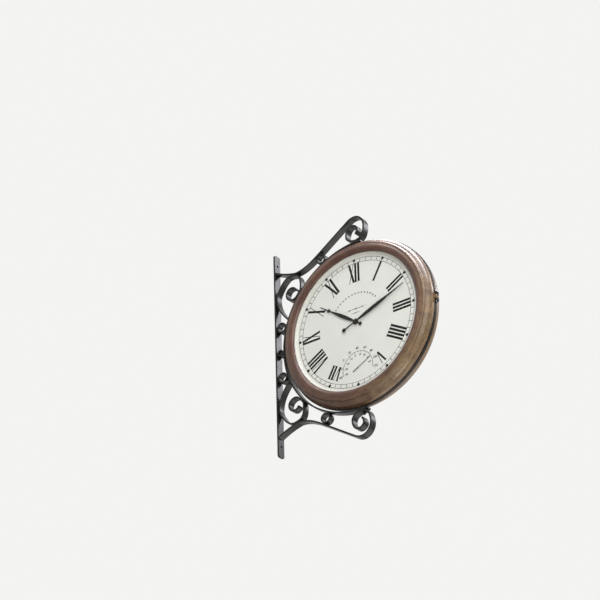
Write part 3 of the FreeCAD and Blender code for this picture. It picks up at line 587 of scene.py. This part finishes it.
def bezel_section():
    """Closed section of a bezel: from the joint over the front to the lip, and back inside."""
    ridge_d = CREST_D - RIDGE_DROP
    cove_top = (BEZEL_R - MOULDING_W - COVE_W, ridge_d - RIDGE_FALL)
    moulding_top = (BEZEL_R - MOULDING_W, cove_top[1] - COVE_H)
    bead_end = (cove_top[0] - RIDGE_W, ridge_d - RIDGE_RISE)
    ridge_top = (bead_end[0] + RIDGE_SHARE * RIDGE_W, ridge_d)
    crest = (LIP_R + CREST_SHARE * (bead_end[0] - LIP_R), CREST_D)
    inner_r = BEZEL_R - BEZEL_WALL
    joint = JOINT_D + FIT_GAP / 2

    def at_joint(inwards, up):
        """A point near the outer edge of the joint, in edge radii."""
        return BEZEL_R - inwards * EDGE_R, joint + up * EDGE_R

    def at_lip(outwards, up):
        """A point near the lip, in edge radii."""
        return LIP_R + outwards * EDGE_R, LIP_D + up * EDGE_R

    foot = at_joint(0.6, 2.4)
    bulge = swelled(foot, moulding_top, MOULDING_BULGE)
    sag = swelled(moulding_top, cove_top, -COVE_SAG)
    section = [at_joint(0.4, 0.0)]
    section += arc_points(at_joint(0.0, 0.5), at_joint(0.1, 1.4), at_joint(0.7, 2.0), EDGE_STEPS)
    section += arc_points(foot, bulge, moulding_top, MOULDING_STEPS)
    section += arc_points(moulding_top, sag, cove_top, COVE_STEPS)[1:]
    ridge = arc_points(cove_top, ridge_top, bead_end, RIDGE_STEPS)[1:-VALLEY_STEPS]
    bead = arc_points(bead_end, crest, at_lip(1.0, 1.1), BEAD_STEPS)[VALLEY_STEPS:]
    near, far = Vector(ridge[-1]), Vector(bead[0])
    valley = [(near * (VALLEY_STEPS - i) + far * i) / VALLEY_STEPS for i in range(1, VALLEY_STEPS)]
    section += ridge + [tuple(point) for point in valley] + bead
    section += arc_points(at_lip(0.7, 0.8), at_lip(0.2, 0.5), at_lip(0.0, 0.0), EDGE_STEPS)
    lens_seat_r, reveal_seat_r = LENS_R + FIT_GAP, REVEAL_R + FIT_GAP
    section += [(LIP_R, LENS_FRONT_D), (lens_seat_r, LENS_FRONT_D), (lens_seat_r, LENS_BACK_D)]
    section += [(reveal_seat_r, LENS_BACK_D), (reveal_seat_r, DIAL_D), (DIAL_R + DIAL_ROOM, DIAL_D)]
    section += [(inner_r, joint + BEZEL_SKIRT), (inner_r, joint)]
    return section


for name, side in SIDES.items():
    shell = lathe(bezel_section(), BEZEL_STEPS, side)
    bezel = add_piece(name + "_bezel_turned", shell, "bezel_bronze", name + "_door")
    bezel.data.set_sharp_from_angle(angle=BEZEL_SHARP)
    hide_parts(name + "_bezel")


# Bracket, case, hinge and what each face carries: width of the rounding in millimetres
ROUNDING = {"wall_bar": 0.7, "upper_arm": 0.7, "lower_arm": 0.7, "upper_c_scroll": 0.7,
            "lower_c_scroll": 0.7, "cradle_band": 0.6, "wall_spacer_rings": 0.5,
            "arm_spacer_rings": 0.5, "case_ring": 0.4, "case_nuts": 0.3, "case_hinge_plate": 0.25,
            "hinge_pins": 0.2, "case_studs": 0.2}
DOOR_ROUNDING = {"hinge_leaf": 0.25, "minute_hand": 0.12, "hour_hand": 0.12, "movement_case": 0.4,
                 "movement_cover": 0.3, "set_knob": 0.25, "thermo_case": 0.3, "dial_screws": 0.25}
NEEDLE_ROUNDING = 0.1
for node, width in ROUNDING.items():
    rounded(node, width * MM)
for name in SIDES:
    for node, width in DOOR_ROUNDING.items():
        rounded(name + "_" + node, width * MM)
    rounded(name + "_thermo_needle", NEEDLE_ROUNDING * MM, "needle_brown")


# Print: flat shapes on the dial plane, x to the reader's right and z up, as thin raised ink
def turned(points, clock_degrees):
    c, s = math.cos(math.radians(clock_degrees)), math.sin(math.radians(clock_degrees))
    return [(x * c + z * s, z * c - x * s) for x, z in points]


def moved(points, dx, dz):
    return [(x + dx, z + dz) for x, z in points]


def ink_shape(bm, points, side, height=INK):
    """One printed shape: a face in front of the dial, with walls back to it."""
    tops = [bm.verts.new((AXIS_X + side * x, -side * (DIAL_D + height), z)) for x, z in points]
    feet = [bm.verts.new((AXIS_X + side * x, -side * DIAL_D, z)) for x, z in points]
    bm.faces.new(tops)
    for i in range(len(points)):
        j = (i + 1) % len(points)
        bm.faces.new((tops[j], tops[i], feet[i], feet[j]))


def ink_ring(bm, radius, width, side, start=0.0, end=360.0, centre_z=0.0, steps=180):
    """A printed line that follows a circle, in clock degrees."""
    whole = end - start >= 360.0
    angles = [start + (end - start) * i / steps for i in range(steps + (0 if whole else 1))]
    near, far = radius - width / 2, radius + width / 2
    for a0, a1 in zip(angles, angles[1:] + angles[:1] if whole else angles[1:]):
        corners = [(near, a0), (far, a0), (far, a1), (near, a1)]
        points = [turned([(0, r)], a)[0] for r, a in corners]
        ink_shape(bm, moved(points, 0, centre_z), side, LINE_INK)


def tick(r0, r1, width):
    return [(-width / 2, r0), (width / 2, r0), (width / 2, r1), (-width / 2, r1)]


class Numeral:
    """Strokes of one hour, upright at twelve, between a foot and a head radius."""

    def __init__(self, shares):
        self.foot, self.head = (share * MARK_R for share in shares)
        self.shapes = []

    def stroke(self, x_foot, x_head, width):
        half = width / 2
        self.shapes.append([(x_foot - half, self.foot), (x_foot + half, self.foot),
                            (x_head + half, self.head), (x_head - half, self.head)])

    def serif(self, x, width, at_head):
        z = self.head if at_head else self.foot
        inward = -SERIF_H if at_head else SERIF_H
        half = width / 2
        out = half + SERIF_OUT
        self.shapes.append([(x - out, z), (x + out, z), (x + out, z + inward / 2),
                            (x + half, z + 2 * inward), (x - half, z + 2 * inward),
                            (x - out, z + inward / 2)])

    def letter_i(self, x):
        self.stroke(x, x, STROKE_W)
        self.serif(x, STROKE_W, True)
        self.serif(x, STROKE_W, False)

    def letter_v(self, x):
        self.stroke(x, x - V_HALF, V_STROKE_W)
        self.stroke(x + V_STROKE_W / 3, x + V_HALF, HAIR_W)
        self.serif(x - V_HALF, V_STROKE_W, True)
        self.serif(x + V_HALF, HAIR_W, True)

    def letter_x(self, x):
        self.stroke(x + X_HALF, x - X_HALF, STROKE_W)
        self.stroke(x - X_HALF, x + X_HALF, HAIR_W)
        for at_head in (True, False):
            thick_x = x - X_HALF if at_head else x + X_HALF
            self.serif(thick_x, STROKE_W, at_head)
            self.serif(2 * x - thick_x, HAIR_W, at_head)


LETTERS = {"I": (Numeral.letter_i, STROKE_STEP),
           "V": (Numeral.letter_v, 2 * V_HALF + LETTER_GAP),
           "X": (Numeral.letter_x, 2 * X_HALF + LETTER_GAP)}


def print_numerals(side):
    bm = bmesh.new()
    for hour, letters in NUMERALS.items():
        numeral = Numeral(SHORT_SHARES if hour in SHORT_HOURS else NUMERAL_SHARES)
        x = -sum(LETTERS[c][1] for c in letters) / 2
        for draw, width in (LETTERS[c] for c in letters):
            draw(numeral, x + width / 2)
            x += width
        for i, points in enumerate(numeral.shapes):
            height = INK * (1 - STROKE_INK_STEP * i)
            ink_shape(bm, turned(points, hour * HOUR_TURN), side, height)
    return bm


def print_track(side):
    bm = bmesh.new()
    inner, outer = (share * MARK_R for share in TRACK_SHARES)
    for radius in (inner, outer):
        ink_ring(bm, radius, TRACK_LINE, side)
    for minute in range(60):
        line = tick(inner, outer, MINUTE_LINE)
        ink_shape(bm, turned(line, minute * MINUTE_TURN), side, TICK_INK)
    for hour in range(12):
        square = tick(MARK_R - MARK_W / 2, MARK_R + MARK_W / 2, MARK_W)
        ink_shape(bm, turned(square, hour * HOUR_TURN), side)
    return bm


def print_thermometer(side):
    bm = bmesh.new()
    ink_ring(bm, SCALE_R, SCALE_LINE, side, -SCALE_HALF, SCALE_HALF, THERMO_Z, SCALE_STEPS)
    for scale in SCALES:
        for i in range(scale.parts * (len(scale.numbers) - 1) + 1):
            end = SCALE_R + (scale.short if i % scale.parts else scale.long)
            line = tick(min(SCALE_R, end), max(SCALE_R, end), SCALE_LINE)
            points = turned(line, -SCALE_HALF + i * scale.step / scale.parts)
            ink_shape(bm, moved(points, 0, THERMO_Z), side, TICK_INK)
    return bm


def number_mesh(text, height):
    curve = bpy.data.curves.new("number", "FONT")
    curve.body = text
    curve.size = height * FONT_SIZE_SHARE
    curve.offset = NUMBER_BOLD
    curve.align_x = "CENTER"
    curve.align_y = "CENTER"
    holder = bpy.data.objects.new("number", curve)
    mesh = bpy.data.meshes.new_from_object(holder)
    bpy.data.objects.remove(holder)
    bpy.data.curves.remove(curve)
    return mesh


def ink_number(bm, text, height, x, z, side):
    mesh = number_mesh(text, height)
    made = bmesh.new()
    made.from_mesh(mesh)
    bmesh.ops.dissolve_limit(made, angle_limit=NUMBER_FLAT, verts=made.verts, edges=made.edges)
    for v in made.verts:
        v.co = Vector((AXIS_X + side * (v.co.x + x), -side * (DIAL_D + INK), v.co.y + z))
    made.to_mesh(mesh)
    made.free()
    bm.from_mesh(mesh)
    bpy.data.meshes.remove(mesh)


def print_thermometer_numbers(side):
    bm = bmesh.new()
    for scale in SCALES:
        for i, value in enumerate(scale.numbers):
            x, z = turned([(0, scale.number_r)], -SCALE_HALF + i * scale.step)[0]
            ink_number(bm, str(value), scale.number_h, x, z + THERMO_Z, side)
    return bm


def lozenge(half_w, half_h):
    return [(0, -half_h), (half_w, 0), (0, half_h), (-half_w, 0)]


def print_ornament(side):
    """An arc of lozenges and dots, over two rules that swell towards the middle."""
    bm = bmesh.new()
    for i in range(-ARC_HALF_COUNT, ARC_HALF_COUNT + 1):
        shape = moved(lozenge(*LOZENGE_HALF), 0, ARC_R)
        ink_shape(bm, turned(shape, i * ARC_STEP), side, LINE_INK)
    for i in range(-ARC_HALF_COUNT, ARC_HALF_COUNT):
        dot = moved(lozenge(DOT_HALF, DOT_HALF), 0, ARC_R)
        ink_shape(bm, turned(dot, (i + 0.5) * ARC_STEP), side, LINE_INK)
    for z, half in RULES:
        ink_shape(bm, moved(lozenge(half, RULE_W / 2), 0, z), side, LINE_INK)
    z, half = RULES[0]
    for x in (-half / 2, 0, half / 2):
        ink_shape(bm, moved(lozenge(*RULE_LOZENGE), x, z), side, TICK_INK)
    return bm


PRINTS = {"numerals": (print_numerals, "ink_black"),
          "minute_track": (print_track, "ink_black"),
          "thermometer_scale": (print_thermometer, "ink_grey"),
          "thermometer_numbers": (print_thermometer_numbers, "ink_black"),
          "ornament": (print_ornament, "ink_grey")}
for name, side in SIDES.items():
    for title, (make, finish) in PRINTS.items():
        add_piece(name + "_" + title, make(side), finish, name + "_door",
                  smooth=False)


# Low domed cap that holds the minute hand
for name, side in SIDES.items():
    shoulder = (CAP_SHOULDER[0], MINUTE_HAND_D + CAP_SHOULDER[1])
    top = (CAP_HOLE_R, MINUTE_HAND_D + CAP_H)
    dome = arc_points((CAP_R, MINUTE_HAND_D), shoulder, top, DOME_STEPS)
    cap = lathe(dome + [(CAP_HOLE_R, MINUTE_HAND_D)], CAP_STEPS, side)
    add_piece(name + "_hand_cap", cap, "hand_black", name + "_minute")


# Floor, light and camera
def floor():
    bm = bmesh.new()
    bmesh.ops.create_grid(bm, x_segments=1, y_segments=1, size=FLOOR_HALF)
    mesh = bpy.data.meshes.new("floor")
    bm.to_mesh(mesh)
    bm.free()
    made = add_object("floor", mesh)
    made.location.z = FLOOR_Z
    f = Finish("floor_pale")
    f.set(Base_Color=f.tone(*FLOOR_TONE), Roughness=FLOOR_ROUGHNESS)
    path = f.node("ShaderNodeLightPath").outputs
    shown = path[SHOWN_TO[0]]
    for kind in SHOWN_TO[1:]:
        shown = f.math("MAXIMUM", shown, path[kind])
    pale = f.node("ShaderNodeEmission")
    f.feed(pale.inputs["Color"], PALE)
    f.mix_surface(f.math("MULTIPLY", shown, FLOOR_SHOWN), f.surface, pale)
    made.data.materials.append(f.material)


def surroundings():
    world = bpy.data.worlds.new("studio")
    world.use_nodes = True
    bpy.context.scene.world = world
    nodes, links = world.node_tree.nodes, world.node_tree.links
    seen = nodes["Background"]
    seen.inputs["Color"].default_value = PALE
    lit = nodes.new("ShaderNodeBackground")
    lit.inputs["Color"].default_value = AMBIENT
    lit.inputs["Strength"].default_value = AMBIENT_STRENGTH
    path = nodes.new("ShaderNodeLightPath").outputs
    shown = path[SHOWN_TO[0]]
    for kind in SHOWN_TO[1:]:
        either = nodes.new("ShaderNodeMath")
        either.operation = "MAXIMUM"
        links.new(shown, either.inputs[0])
        links.new(path[kind], either.inputs[1])
        shown = either.outputs[0]
    mixed = nodes.new("ShaderNodeMixShader")
    links.new(shown, mixed.inputs[0])
    links.new(lit.outputs[0], mixed.inputs[1])
    links.new(seen.outputs[0], mixed.inputs[2])
    links.new(mixed.outputs[0], nodes["World Output"].inputs["Surface"])


def aim(thing, place, right, up, back):
    """Puts a lamp or camera at a place; it looks away from back."""
    turn = Matrix((right, up, back)).transposed()
    thing.matrix_world = Matrix.LocRotScale(place, turn.to_quaternion(), None)


def softbox(name, place, size, power, along, tint):
    """A rectangular lamp that faces the clock, with its first side along the given direction."""
    light = bpy.data.lights.new(name, "AREA")
    light.color = tint
    light.shape = "RECTANGLE"
    light.size, light.size_y = size
    light.energy = power
    lamp = add_object(name, light)
    lamp.visible_camera = False
    back = Vector(place).normalized()
    right = (Vector(along) - back * back.dot(Vector(along))).normalized()
    aim(lamp, Vector(place) + Vector((AXIS_X, 0, 0)), right, back.cross(right), back)


def camera():
    az, el, roll = (math.radians(a) for a in (VIEW_AZIMUTH, VIEW_ELEVATION, VIEW_ROLL))
    back = Vector((math.sin(az) * math.cos(el), -math.cos(az) * math.cos(el), math.sin(el)))
    level = Vector((math.cos(az), math.sin(az), 0))
    rise = back.cross(level)
    right = level * math.cos(roll) + rise * math.sin(roll)
    up = rise * math.cos(roll) - level * math.sin(roll)
    data = bpy.data.cameras.new("camera")
    data.sensor_width = SENSOR_W
    data.lens = FOCAL_PIXELS * SENSOR_W / FRAME_PIXELS
    data.clip_end = VIEW_END
    made = add_object("camera", data)
    over, above = VIEW_OFFSET
    place = Vector((AXIS_X, 0, 0)) + back * VIEW_DISTANCE - right * over - up * above
    aim(made, place, right, up, back)
    bpy.context.scene.camera = made


floor()
surroundings()
for name, lamp in LAMPS.items():
    softbox(name, *lamp)
camera()
bpy.context.scene.view_settings.view_transform = "Standard"
